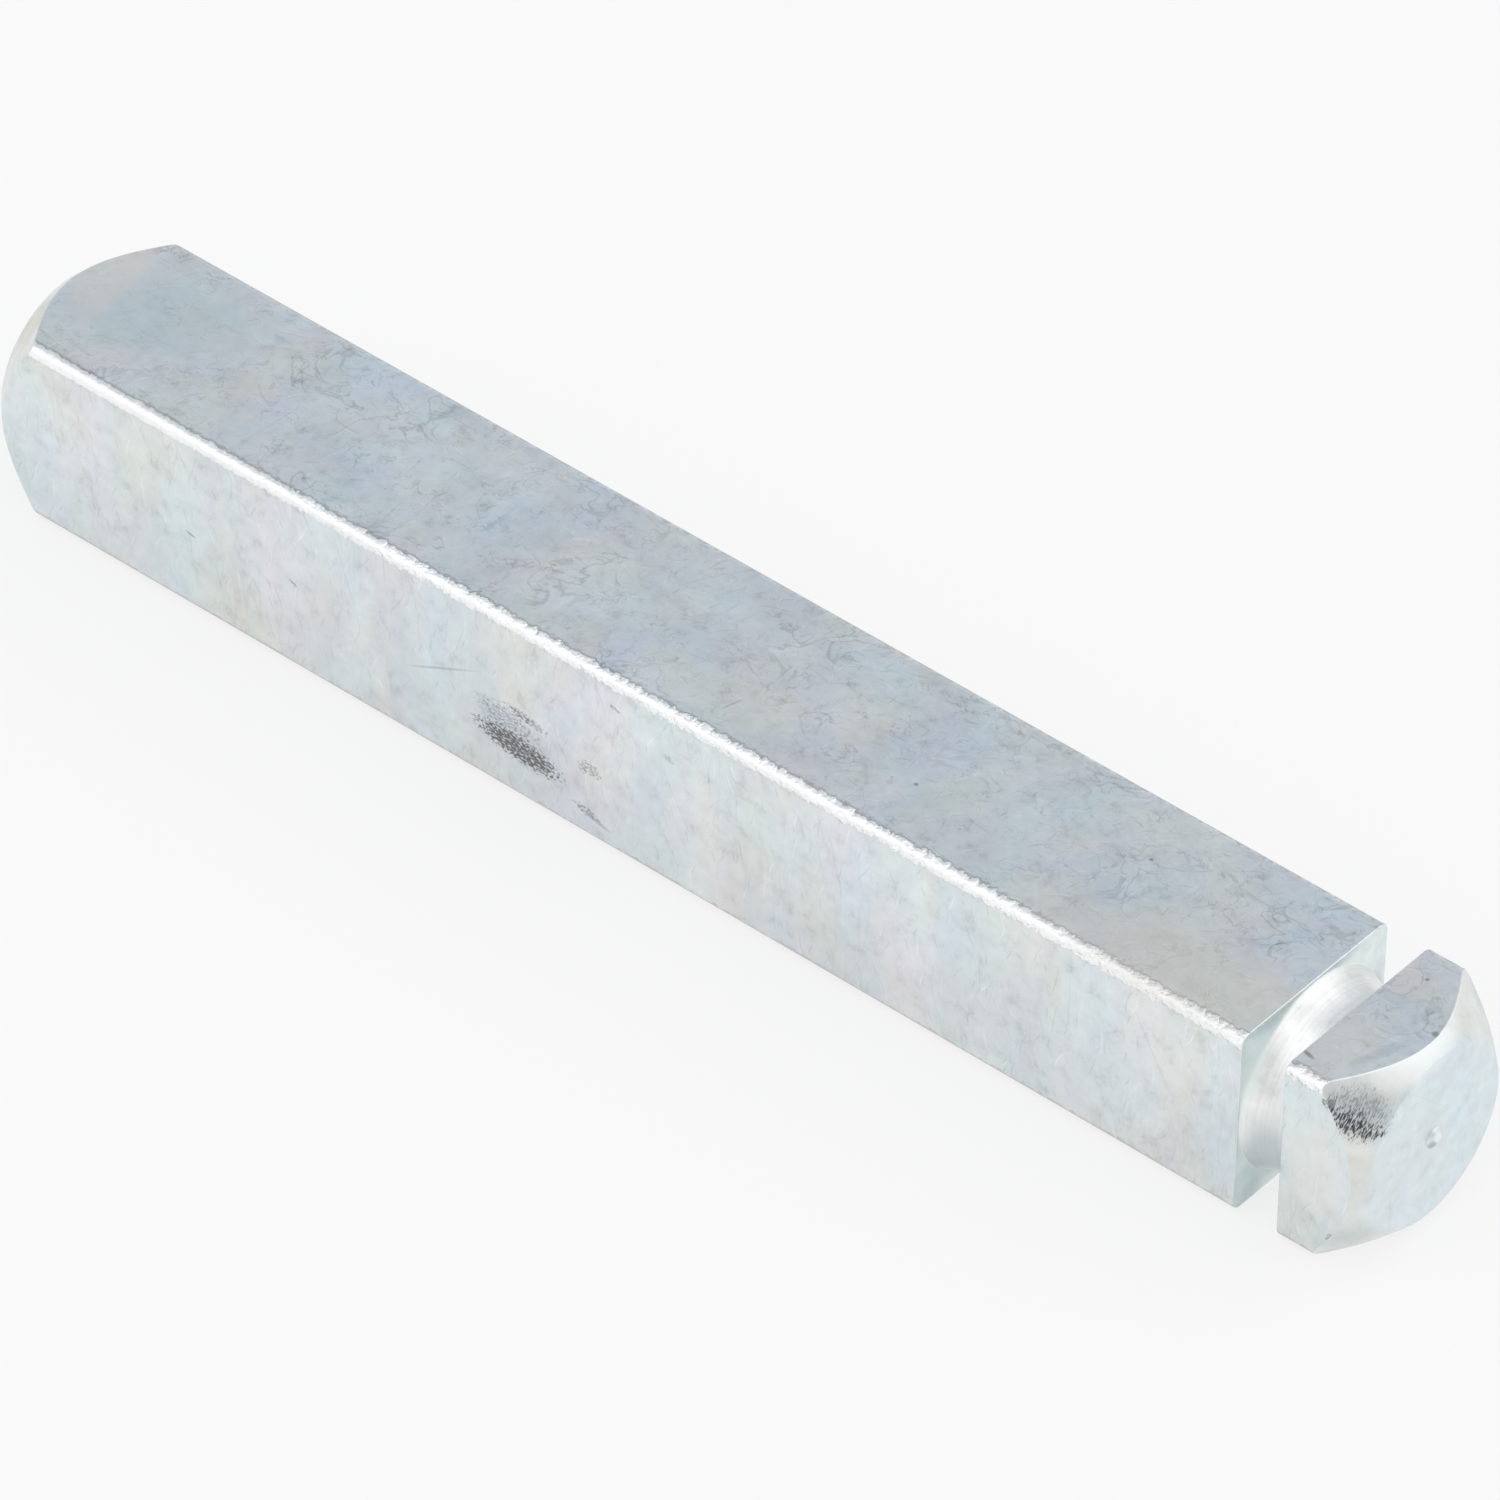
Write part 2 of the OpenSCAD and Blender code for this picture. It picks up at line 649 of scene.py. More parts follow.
@dataclass(frozen=True)
class DrawnZinc(ZincPlate):
    """Plate over the drawn bar, with flat faces and ragged long edges, one of them burnished white, which
    also paints the key light's highlight on it, and with shade painted from the top down.

    Attributes:
        edge_start: Distance across the bar at which its long edges begin to round, in millimetres.
        nibble: Length of one nibble in the ragged edge, in millimetres.
        nibble_depth: Depth of the nibbles near the tail face and further along, in millimetres.
        clean_until: Length from the tail face over which the edges stay straighter, in millimetres.
        shade_heights: Heights from the axis between which the painted shade lifts from the bottom, in
            millimetres.
        bottom_shade_light: Light that the painted shade leaves at the bottom.
        painted_top_light: Painted light at the top of the sides and on the top flat.
        rubbed: Values of z less y between which an edge turns from dull to burnished white with the
            painted highlight, in millimetres.
        set_back: Distance that bare metal keeps back on level flats and on dull edges, in millimetres.
        fade: Distance over which plate turns into bare metal, in millimetres.
        dull_edge: Colour of the edges that are rubbed least.
        white_highlight_edge: Colour of the edge that is rubbed most, whitened to paint the key light's
            highlight on it.
        lip_light: Light left on the top flat by a darker line along the inside of the burnished edge.
        rag: Distances past the start of the rounding between which the ragged edge rises, in millimetres.
        rag_height: Height of a dull and of the burnished ragged edge, in millimetres.
    """

    edge_start: float = 4.0
    nibble: float = 0.3
    nibble_depth: tuple[float, float] = (0.3, 0.7)
    clean_until: float = 12.0
    shade_heights: tuple[float, float] = (-4.0, 2.5)
    bottom_shade_light: float = 0.94
    painted_top_light: tuple[float, float] = (1.04, 1.01)
    rubbed: tuple[float, float] = (5.0, 8.0)
    set_back: float = 0.08
    fade: float = 0.06
    dull_edge: str = "#C8C8C5"
    white_highlight_edge: str = "#FCFDFD"
    lip_light: float = 0.68
    rag: tuple[float, float] = (-0.1, 0.4)
    rag_height: tuple[float, float] = (0.015, 0.07)

    def tint(self, tree: Tree, place: Place) -> Socket:
        """Paints shade on the tints, darker from the top of the sides down to the bottom, and paints
        light at the top of the sides and on the top flat.

        Args:
            tree: Material's node tree.
            place: Where a point is.

        Returns:
            Colour of the clean plate.
        """
        film = super().tint(tree, place)
        height = add_node(tree, "ShaderNodeSeparateXYZ", {0: place.own}).node.outputs["Z"]
        # Painted light at the top of the sides and on the top flat, and painted shade down to the bottom
        on_side, on_top = self.painted_top_light
        top_light = add_node(
            tree, "ShaderNodeMapRange", {"Value": place.level, "To Min": on_side, "To Max": on_top}
        )
        bottom, top = self.shade_heights
        light = add_node(
            tree,
            "ShaderNodeMapRange",
            {
                "Value": height,
                "From Min": bottom,
                "From Max": top,
                "To Min": self.bottom_shade_light,
                "To Max": top_light,
            },
        )
        return add_node(tree, "ShaderNodeVectorMath", {0: film, "Scale": light}, operation="SCALE")

    def uneven(self, tree: Tree, place: Place) -> Socket:
        """Measures the distance towards a long edge, nibbled by a noise.

        Args:
            tree: Material's node tree.
            place: Where a point is.

        Returns:
            Distance past the start of the rounding, in millimetres.
        """
        nibbles = add_node(
            tree, "ShaderNodeTexNoise", {"Vector": place.own, "Scale": 1 / self.nibble, "Detail": 3.0}
        )
        shallow, deep = self.nibble_depth
        swing = add_node(
            tree,
            "ShaderNodeMapRange",
            {
                "Value": place.x,
                "From Min": self.clean_until / 2,
                "From Max": 2 * self.clean_until,
                "To Min": shallow,
                "To Max": deep,
            },
        )
        middled = add_node(tree, "ShaderNodeMath", {0: nibbles, 1: 0.5}, operation="SUBTRACT")
        ragged = add_node(
            tree, "ShaderNodeMath", {0: middled, 1: swing, 2: place.border}, operation="MULTIPLY_ADD"
        )
        return add_node(tree, "ShaderNodeMath", {0: ragged, 1: self.edge_start}, operation="SUBTRACT")

    def polish_and_highlight(self, tree: Tree, place: Place) -> Socket:
        """Tells the edge that is rubbed most and carries the painted highlight, at 1, from the others, at
        0.

        Args:
            tree: Material's node tree.
            place: Where a point is.

        Returns:
            Share of the burnish and of the painted highlight.
        """
        dull, white = self.rubbed
        return add_node(
            tree, "ShaderNodeMapRange", {"Value": place.handled, "From Min": dull, "From Max": white}
        )

    def wear_and_edge_light(self, tree: Tree, place: Place, colour: Socket) -> Socket:
        """Wears the long edges and paints light on them: burnished white where they are rubbed most,
        which also paints the key light's highlight there, dull elsewhere, with a darker line inside.

        Args:
            tree: Material's node tree.
            place: Where a point is.
            colour: Colour of the plate without wear.

        Returns:
            Colour with the wear and the painted highlight on the edges.
        """
        past = self.uneven(tree, place)
        polish_and_light = self.polish_and_highlight(tree, place)
        spared = add_node(
            tree, "ShaderNodeMapRange", {"Value": polish_and_light, "To Min": -self.set_back, "To Max": 0.0}
        )
        inward = add_node(
            tree, "ShaderNodeMath", {0: place.level, 1: -self.set_back, 2: past}, operation="MULTIPLY_ADD"
        )
        bared = add_node(tree, "ShaderNodeMath", {0: inward, 1: spared}, operation="ADD")
        edge = add_node(
            tree, "ShaderNodeMapRange", {"Value": bared, "From Min": 0.0, "From Max": self.fade}
        )
        # Burnished metal, whitened on the near top edge to paint the key light's highlight there
        metal = add_node(
            tree,
            "ShaderNodeMix",
            {"Factor": polish_and_light, MIX_A: linear(self.dull_edge), MIX_B: linear(self.white_highlight_edge)},
            out=MIX_RESULT,
            data_type="RGBA",
        )
        start = add_node(
            tree, "ShaderNodeMapRange", {"Value": past, "From Min": -self.set_back, "From Max": self.fade}
        )
        level_lip = add_node(tree, "ShaderNodeMath", {0: start, 1: place.level}, operation="MULTIPLY")
        lip = add_node(tree, "ShaderNodeMath", {0: level_lip, 1: polish_and_light}, operation="MULTIPLY")
        light = add_node(
            tree, "ShaderNodeMapRange", {"Value": lip, "To Min": 1.0, "To Max": self.lip_light}
        )
        lipped = add_node(tree, "ShaderNodeVectorMath", {0: colour, "Scale": light}, operation="SCALE")
        return add_node(
            tree,
            "ShaderNodeMix",
            {"Factor": edge, MIX_A: lipped, MIX_B: metal},
            out=MIX_RESULT,
            data_type="RGBA",
        )

    def relief(self, tree: Tree, place: Place) -> Socket:
        """Roughens the long edges.

        Args:
            tree: Material's node tree.
            place: Where a point is.

        Returns:
            Height of the surface, in millimetres.
        """
        past = self.uneven(tree, place)
        polish_and_light = self.polish_and_highlight(tree, place)
        dull, white = self.rag_height
        height = add_node(tree, "ShaderNodeMapRange", {"Value": polish_and_light, "To Min": dull, "To Max": white})
        foot, crest = self.rag
        return add_node(
            tree,
            "ShaderNodeMapRange",
            {"Value": past, "From Min": foot, "From Max": crest, "To Max": height},
            interpolation_type="SMOOTHSTEP",
        )


@dataclass(frozen=True)
class TurnedZinc(ZincPlate):
    """Plate over the turned faces, which shows fine rings from the lathe and a warmer film on the cones.

    Attributes:
        feed_step: Spacing of the rings along the bar, drawn coarser than the lathe's so that they show.
        facing_share: Rings per millimetre of radius, as a share of those per millimetre of length.
        ring_height: Height of the rings on the ends and in the neck, in millimetres.
        ring_light: Light that the darkest ring in the neck leaves.
        ring_levels: Levels of the rings' noise between which they turn from dark to light.
        face_radius: Radius of the flat end faces, where the cones begin.
        cone_rise: Rises above that radius between which the cones' film grows, in millimetres.
        cone_share: Share of that film where it is thickest.
        cone_film: Colour of the film on the cones.
        neck_middle: Length along the bar at the middle of the neck.
        neck_width: Width of the neck.
        neck_floor: Colour of the neck's floor.
        head_shade_light: Light left by the painted shade on that floor beside the head, where it is
            deepest.
        wall_rise: Rise of the foot of the neck's walls above the end faces' radius, in millimetres.
        neck_wall: Colour of the neck's walls.
    """

    feed_step: float = 0.14
    facing_share: float = 0.37
    ring_height: tuple[float, float] = (0.002, 0.005)
    ring_light: float = 0.93
    ring_levels: tuple[float, float] = (0.3, 0.6)
    face_radius: float = 4.0
    cone_rise: tuple[float, float] = (-0.05, 0.5)
    cone_share: float = 0.4
    cone_film: str = "#EAE6DC"
    neck_middle: float = 65.55
    neck_width: float = 2.1
    neck_floor: str = "#F3F5F4"
    head_shade_light: float = 0.88
    wall_rise: float = 0.42
    neck_wall: str = "#E7F1F0"

    def in_neck(self, tree: Tree, place: Place) -> Socket:
        """Tells the neck and its walls, at 1, from the ends, at 0.

        Args:
            tree: Material's node tree.
            place: Where a point is.

        Returns:
            Share of the neck.
        """
        from_middle = add_node(
            tree, "ShaderNodeMath", {0: place.x, 1: self.neck_middle}, operation="SUBTRACT"
        )
        away = add_node(tree, "ShaderNodeMath", {0: from_middle}, operation="ABSOLUTE")
        past_walls = 0.6 * self.neck_width
        return add_node(tree, "ShaderNodeMath", {0: away, 1: past_walls}, operation="LESS_THAN")

    def rings(self, tree: Tree, place: Place) -> Socket:
        """Draws the rings that the turning tool leaves.

        Args:
            tree: Material's node tree.
            place: Where a point is.

        Returns:
            Height within a ring, from 0 to 1.
        """
        path = add_node(
            tree,
            "ShaderNodeMath",
            {0: place.radius, 1: self.facing_share, 2: place.x},
            operation="MULTIPLY_ADD",
        )
        return add_node(
            tree,
            "ShaderNodeTexNoise",
            {"W": path, "Scale": 1 / self.feed_step, "Detail": 4.0, "Roughness": 0.7},
            noise_dimensions="1D",
        )

    def tint(self, tree: Tree, place: Place) -> Socket:
        """Warms the tints on the cones, and gives the neck a bright ringed floor and pale walls, with
        painted shade on the floor that deepens towards the head.

        Args:
            tree: Material's node tree.
            place: Where a point is.

        Returns:
            Colour of the clean plate.
        """
        cool = super().tint(tree, place)
        foot, rim = self.cone_rise
        on_cone = add_node(
            tree,
            "ShaderNodeMapRange",
            {
                "Value": place.radius,
                "From Min": self.face_radius + foot,
                "From Max": self.face_radius + rim,
                "To Max": self.cone_share,
            },
        )
        warm = add_node(
            tree,
            "ShaderNodeMix",
            {"Factor": on_cone, MIX_A: cool, MIX_B: linear(self.cone_film)},
            out=MIX_RESULT,
            data_type="RGBA",
        )
        dark, light = self.ring_levels
        lines = add_node(
            tree,
            "ShaderNodeMapRange",
            {
                "Value": self.rings(tree, place),
                "From Min": dark,
                "From Max": light,
                "To Min": self.ring_light,
                "To Max": 1.0,
            },
        )
        # Painted shade on the neck's floor, deepening towards the head's wall
        depth = add_node(
            tree,
            "ShaderNodeMapRange",
            {
                "Value": place.x,
                "From Min": self.neck_middle,
                "From Max": self.neck_middle + self.neck_width / 2,
                "To Min": 1.0,
                "To Max": self.head_shade_light,
            },
        )
        lit = add_node(tree, "ShaderNodeMath", {0: lines, 1: depth}, operation="MULTIPLY")
        floor_colour = linear(self.neck_floor)[:3]
        floor = add_node(tree, "ShaderNodeVectorMath", {0: floor_colour, "Scale": lit}, operation="SCALE")
        wall_foot = self.face_radius + self.wall_rise
        on_wall = add_node(
            tree, "ShaderNodeMath", {0: place.radius, 1: wall_foot}, operation="GREATER_THAN"
        )
        neck = add_node(
            tree,
            "ShaderNodeMix",
            {"Factor": on_wall, MIX_A: floor, MIX_B: linear(self.neck_wall)},
            out=MIX_RESULT,
            data_type="RGBA",
        )
        return add_node(
            tree,
            "ShaderNodeMix",
            {"Factor": self.in_neck(tree, place), MIX_A: warm, MIX_B: neck},
            out=MIX_RESULT,
            data_type="RGBA",
        )

    def relief(self, tree: Tree, place: Place) -> Socket:
        """Cuts the rings, deepest in the neck.

        Args:
            tree: Material's node tree.
            place: Where a point is.

        Returns:
            Height of the surface, in millimetres.
        """
        on_ends, in_neck = self.ring_height
        height = add_node(
            tree,
            "ShaderNodeMapRange",
            {"Value": self.in_neck(tree, place), "To Min": on_ends, "To Max": in_neck},
        )
        rings = self.rings(tree, place)
        return add_node(tree, "ShaderNodeMath", {0: rings, 1: height}, operation="MULTIPLY")


FLAT_SCRATCHES = (
    Scratches(cell=0.75, half_length=0.4, half_width=0.06, shade=0.14, share=0.6),
    Scratches(cell=1.3, half_length=0.7, half_width=0.06, shade=-0.12, share=0.6),
    Scratches(cell=1.7, half_length=0.9, half_width=0.05, shade=0.15, share=0.6),
    Scratches(cell=6.0, half_length=3.0, half_width=0.05, shade=0.1, share=0.5, bow=0.06),
    Scratches(cell=2.6, half_length=0.3, half_width=0.06, shade=0.15, share=0.3),
)
TURNED_SCRATCHES = (
    Scratches(cell=0.9, half_length=0.4, half_width=0.04, shade=0.06),
    Scratches(cell=3.0, half_length=0.3, half_width=0.08, shade=0.12, share=0.3),
)
FLAT_MARKS = (
    # Scuff on the side: its grey base, and its rubbed bright patches under dark grains, whose white also
    # paints glints between the grains
    Mark((28.1, -4.5, -1.3), (2.8, 0.6, 1.3), (0, 0.14, 0), 0.16, Cover.WHOLE, "#929CAA"),
    Mark((28.2, -4.5, -1.85), (2.8, 0.6, 0.7), (0, 0.126, 0), 0.45, Cover.WHOLE, "#F0F2F6"),
    Mark((28.2, -4.5, -1.85), (3.0, 0.6, 0.9), (0, 0.126, 0), 0.82, Cover.CLOSE, "#4A4847"),
    Mark((27.9, -4.5, -0.5), (1.9, 0.6, 0.8), (0, 0.16, 0), 0.35, Cover.WHOLE, "#E8ECF6"),
    Mark((27.7, -4.5, -0.7), (2.2, 0.6, 0.85), (0, 0.16, 0), 0.5, Cover.SPARSE, "#666E7B"),
    Mark((28.6, -4.5, -0.08), (1.4, 0.6, 0.32), (0, 0.19, 0), 0.7, Cover.SPARSE),
    # Small rubs, nicks and one long scratch on the side
    Mark((31.9, -4.5, -0.82), (0.8, 0.6, 0.5), (0, 0, 0), 0.55, Cover.SPARSE, "#75705F"),
    Mark((31.8, -4.5, -3.1), (0.9, 0.6, 0.32), (0, 0.2, 0), 0.55, Cover.SPARSE, "#6A665C"),
    Mark((32.4, -4.5, -3.35), (0.9, 0.6, 0.12), (0, 0.25, 0), 0.3),
    Mark((33.2, -4.5, 3.1), (0.4, 0.6, 0.14), (0, 0.3, 0), 0.4, Cover.CLOSE),
    Mark((24.15, -4.5, 0.0), (2.6, 0.6, 0.08), (0, -0.455, 0), 0.25),
    Mark((10.8, -4.5, -0.55), (0.35, 0.6, 0.08), (0, 0.2, 0), 0.45),
    Mark((16.3, -4.5, 0.0), (0.35, 0.6, 0.08), (0, 0.4, 0), 0.45),
    Mark((36.0, -4.5, 2.06), (0.4, 0.6, 0.2), (0, 0.3, 0), 0.25, Cover.CLOSE),
    Mark((69.2, -4.5, -2.9), (0.5, 0.6, 0.25), (0, -0.9, 0), 0.4, Cover.CLOSE),
    # Pits, nicks and a short scratch on the top
    Mark((55.5, 1.2, 4.5), (0.12, 0.12, 0.6), (0, 0, 0), 0.6),
    Mark((45.9, -1.4, 4.5), (0.14, 0.12, 0.6), (0, 0, 0), 0.6),
    Mark((67.7, 2.8, 4.5), (0.12, 0.12, 0.6), (0, 0, 0), 0.6),
    Mark((37.5, -2.5, 4.5), (0.7, 0.07, 0.6), (0, 0, 1.29), 0.4),
    Mark((66.9, -3.45, 4.5), (0.42, 0.13, 0.4), (0, 0, -0.25), 0.8),
    Mark((69.85, 0.6, 4.5), (0.26, 0.2, 0.5), (0, 0, 0), 0.5),
    Mark((68.6, -4.4, 3.8), (0.25, 0.5, 0.35), (0, 0, 0), 0.6, Cover.CLOSE),
    # Film stains on the top and on the side of the head, and a darker band on the head's top along its
    # cone edge
    Mark((5.0, 0.2, 4.5), (6.0, 3.2, 0.6), (0, 0, 0.5), 0.5, Cover.WHOLE, "#C0D3DA"),
    Mark((1.7, 1.0, 4.5), (1.6, 4.0, 0.6), (0, 0, 0.2), 0.55, Cover.WHOLE, "#E8E5DE"),
    Mark((60.5, -3.0, 4.5), (8.0, 3.4, 0.6), (0, 0, 0.12), 0.5, Cover.WHOLE, "#E0DCD0"),
    Mark((37.5, -2.2, 4.5), (4.0, 1.8, 0.6), (0, 0, 0.3), 0.35, Cover.WHOLE, "#E6E6DA"),
    Mark((67.6, -2.2, 4.5), (1.8, 3.0, 0.6), (0, 0, 0), 0.4, Cover.WHOLE, "#E4E2D8"),
    Mark((68.95, -1.5, 4.5), (0.35, 2.0, 0.6), (0, 0, -0.35), 0.2, Cover.WHOLE, "#98A2AE"),
    Mark((68.3, -4.5, 0.2), (2.0, 0.6, 3.4), (0, 0, 0), 0.35, Cover.WHOLE, "#F4EFE9"),
)
TURNED_MARKS = (
    # Warm film on the head's cone, a painted highlight on its top and a near-white patch at its near
    # corner
    Mark((69.8, -4.3, 0.9), (1.6, 1.6, 2.6), (0, 0, 0), 0.3, Cover.WHOLE, "#DDD5C6"),
    Mark((69.9, -0.8, 4.1), (1.5, 2.8, 1.0), (0, 0, 0), 0.6, Cover.WHOLE, "#FAFCFC"),
    Mark((69.6, -4.3, 2.2), (1.4, 1.4, 0.6), (2.46, 0, 0), 0.5, Cover.WHOLE, "#FAFBFB"),
    # Dark rub at the near corner of that cone
    Mark((69.5, -3.7, 3.2), (1.8, 2.0, 1.5), (2.46, 0, 0), 0.2, Cover.WHOLE, "#6B747E"),
    Mark((69.55, -3.7, 3.2), (1.7, 1.8, 1.4), (2.46, 0, 0), 0.5, Cover.SPARSE, "#68727C"),
    Mark((69.6, -3.95, 2.9), (1.7, 1.6, 0.75), (2.46, 0, 0), 0.75, Cover.SPARSE, "#363C43"),
    Mark((69.7, -4.0, 2.8), (1.2, 1.3, 0.4), (2.46, 0, 0), 0.55, Cover.CLOSE, "#363C43"),
    Mark((68.75, -4.35, 3.75), (0.25, 0.4, 0.4), (0, 0, 0), 0.6, Cover.CLOSE),
    # Painted shade low on the shoulder and on the neck's floor, painted light with a greenish tint higher
    # on the shoulder, a warm film on the tail's cone, and a darker tone at the low corner of the head
    Mark((64.5, -4.0, -3.8), (0.6, 1.9, 1.9), (0, 0, 0), 0.4, Cover.WHOLE, "#93ABB1"),
    Mark((64.5, -4.0, 2.4), (0.5, 1.7, 2.6), (0, 0, 0), 0.75, Cover.WHOLE, "#F4FDFA"),
    Mark((0.7, -2.8, 3.9), (1.4, 2.2, 1.6), (0, 0, 0), 0.35, Cover.WHOLE, "#DDD0B8"),
    Mark((65.5, -3.6, -1.4), (1.6, 1.8, 3.0), (0, 0, 0), 0.7, Cover.WHOLE, "#B9C3C5"),
    Mark((70.0, -4.2, -3.4), (1.6, 1.8, 1.8), (0, 0, 0), 0.3, Cover.WHOLE, "#A3ADB3"),
    # Painted shade on the low side of the parting pip and a painted highlight on its top
    Mark((70.6, -0.28, -0.14), (0.3, 0.24, 0.34), (0, 0, 0), 0.5, Cover.WHOLE, "#868F94"),
    Mark((70.72, -0.04, 0.16), (0.25, 0.3, 0.3), (0, 0, 0), 0.7, Cover.WHOLE, "#FCFCFB"),
)


# Steps along the hollow of the neck and round a full turn of the lathe
HOLLOW_STEPS = 24
TURN_STEPS = 240
# Gap under which two points are one, in millimetres
MERGE_GAP = 0.0005


@dataclass
class Spindle:
    """The one-piece spindle: a drawn square bar cut to a turned profile.

    It is shaped along +X from the tail face about its own axis, and then set into the frame.

    Attributes:
        low: Lowest corner of the CAD solid, in metres.
        high: Highest corner of the CAD solid, in metres.
        edge_radius: Radius of the four long edges.
        chamfer_depth: Depth that the end chamfer takes off the middle of a flat.
        head_length: Length of the square head.
        neck_width: Width of the neck along the bar.
        neck_depth: Depth of the neck below the flats, where it meets the head.
        neck_curve: Radius of the neck's hollow floor, which falls from the shoulder to the head.
        pip_diameter: Diameter of the parting pip on the head face.
        pip_height: Height of the parting pip.
        square_break: Width of the deburred break on the square edges.
        blunt_break: Width of the break on the blunter edges of the chamfers.
    """

    low: Vector
    high: Vector
    edge_radius: float = 0.5
    chamfer_depth: float = 0.5
    head_length: float = 3.9
    neck_width: float = 2.1
    neck_depth: float = 0.6
    neck_curve: float = 4.6
    pip_diameter: float = 1.0
    pip_height: float = 0.25
    square_break: float = 0.07
    blunt_break: float = 0.06

    @property
    def across_flats(self) -> float:
        """Width of the square bar."""
        return (self.high.z - self.low.z) / MM

    @property
    def overall_length(self) -> float:
        """Length of the whole spindle with its pip."""
        return (self.high.x - self.low.x) / MM

    @property
    def bar_length(self) -> float:
        """Length from the tail face to the head face."""
        return self.overall_length - self.pip_height

    @property
    def neck_end(self) -> float:
        """Length from the tail face to the head's inner wall."""
        return self.bar_length - self.head_length

    @property
    def face_radius(self) -> float:
        """Radius of the flat end faces."""
        return self.across_flats / 2 - self.chamfer_depth

    @property
    def tail(self) -> Vector:
        """Middle of the tail face in the frame, in metres."""
        return Vector((self.low.x, 0, (self.low.z + self.high.z) / 2))

    def drawn_bar(self) -> bmesh.types.BMesh:
        """Shapes the drawn bar, a little longer than the spindle at both ends.

        Returns:
            The square bar with rounded long edges.
        """
        spare = 1.0
        bar = bmesh.new()
        bmesh.ops.create_cube(bar, size=1.0)
        size = (self.bar_length + 2 * spare, self.across_flats, self.across_flats)
        bmesh.ops.scale(bar, vec=size, verts=bar.verts)
        bmesh.ops.translate(bar, vec=(self.bar_length / 2, 0, 0), verts=bar.verts)
        long_edges = [e for e in bar.edges if abs(e.verts[0].co.x - e.verts[1].co.x) > spare]
        bmesh.ops.bevel(
            bar,
            geom=long_edges,
            offset=self.edge_radius,
            affect="EDGES",
            segments=12,
            profile=0.5,
            material=-1,
        )
        return bar

    def turned_form(self) -> bmesh.types.BMesh:
        """Spins the lathe's profile: both end cones and the hollow neck between its walls.

        Returns:
            The closed turned form.
        """
        clear_radius = 0.75 * self.across_flats
        cone_run = clear_radius - self.face_radius
        curve_centre = self.across_flats / 2 - self.neck_depth + self.neck_curve
        curve_turn = math.asin(self.neck_width / self.neck_curve)
        neck_start = self.neck_end - self.neck_width
        tail_side = [
            (0.0, self.face_radius),
            (cone_run, clear_radius),
            (neck_start, clear_radius),
            (neck_start, curve_centre - self.neck_curve * math.cos(curve_turn)),
        ]
        head_side = [
            (self.neck_end, clear_radius),
            (self.bar_length - cone_run, clear_radius),
            (self.bar_length, self.face_radius),
        ]

        lathe = bmesh.new()
        before = [lathe.verts.new((x, 0, radius)) for x, radius in tail_side]
        hollow = bmesh.ops.spin(
            lathe,
            geom=before[-1:],
            cent=(self.neck_end, 0, curve_centre),
            axis=(0, 1, 0),
            angle=-curve_turn,
            steps=HOLLOW_STEPS,
        )
        after = [v for v in hollow["geom_last"] if isinstance(v, bmesh.types.BMVert)]
        after += [lathe.verts.new((x, 0, radius)) for x, radius in head_side]
        for start, end in [*pairwise(before), *pairwise(after)]:
            lathe.edges.new((start, end))
        bmesh.ops.spin(
            lathe,
            geom=lathe.verts[:] + lathe.edges[:],
            cent=(0, 0, 0),
            axis=(1, 0, 0),
            angle=math.tau,
            steps=TURN_STEPS,
            use_merge=True,
        )
        rims = [e for e in lathe.edges if e.is_boundary]
        bmesh.ops.holes_fill(lathe, edges=rims, sides=0)
        bmesh.ops.recalc_face_normals(lathe, faces=lathe.faces)
        for face in lathe.faces:
            face.material_index = Skin.TURNED.value
        return lathe

    def parting_pip(self) -> bmesh.types.BMesh:
        """Shapes the ball whose cap stands out of the head face.

        Returns:
            The ball.
        """
        base = self.pip_diameter / 2
        radius = (base**2 + self.pip_height**2) / (2 * self.pip_height)
        ball = bmesh.new()
        bmesh.ops.create_uvsphere(ball, u_segments=48, v_segments=32, radius=radius)
        along_bar = Matrix.Rotation(math.pi / 2, 3, "Y")
        bmesh.ops.rotate(ball, cent=(0, 0, 0), matrix=along_bar, verts=ball.verts)
        bmesh.ops.translate(ball, vec=(self.overall_length - radius, 0, 0), verts=ball.verts)
        for face in ball.faces:
            face.material_index = Skin.TURNED.value
        return ball

    def combine(self, body: bpy.types.Object, tool: bmesh.types.BMesh, how: Cut) -> None:
        """Cuts or joins a shape into the body, and uses the shape up.

        Args:
            body: Object whose mesh changes.
            tool: Shape to put together with it.
            how: Way to combine them.
        """
        helper = bpy.data.objects.new("helper", bpy.data.meshes.new("helper"))
        tool.to_mesh(helper.data)
        tool.free()
        bpy.context.scene.collection.objects.link(helper)
        step = body.modifiers.new("combine", "BOOLEAN")
        step.operation = how.value
        step.solver = "EXACT"
        step.object = helper
        seen = body.evaluated_get(bpy.context.evaluated_depsgraph_get())
        result = bpy.data.meshes.new_from_object(seen)
        body.modifiers.clear()
        body.data = result
        bpy.data.objects.remove(helper)

    def break_edges(self, body: bpy.types.Object) -> None:
        """Breaks the sharp edges, shades the body smooth and sets it into the frame.

        Args:
            body: Object whose mesh is finished.
        """
        shape = bmesh.new()
        shape.from_mesh(body.data)
        bmesh.ops.remove_doubles(shape, verts=shape.verts, dist=MERGE_GAP)
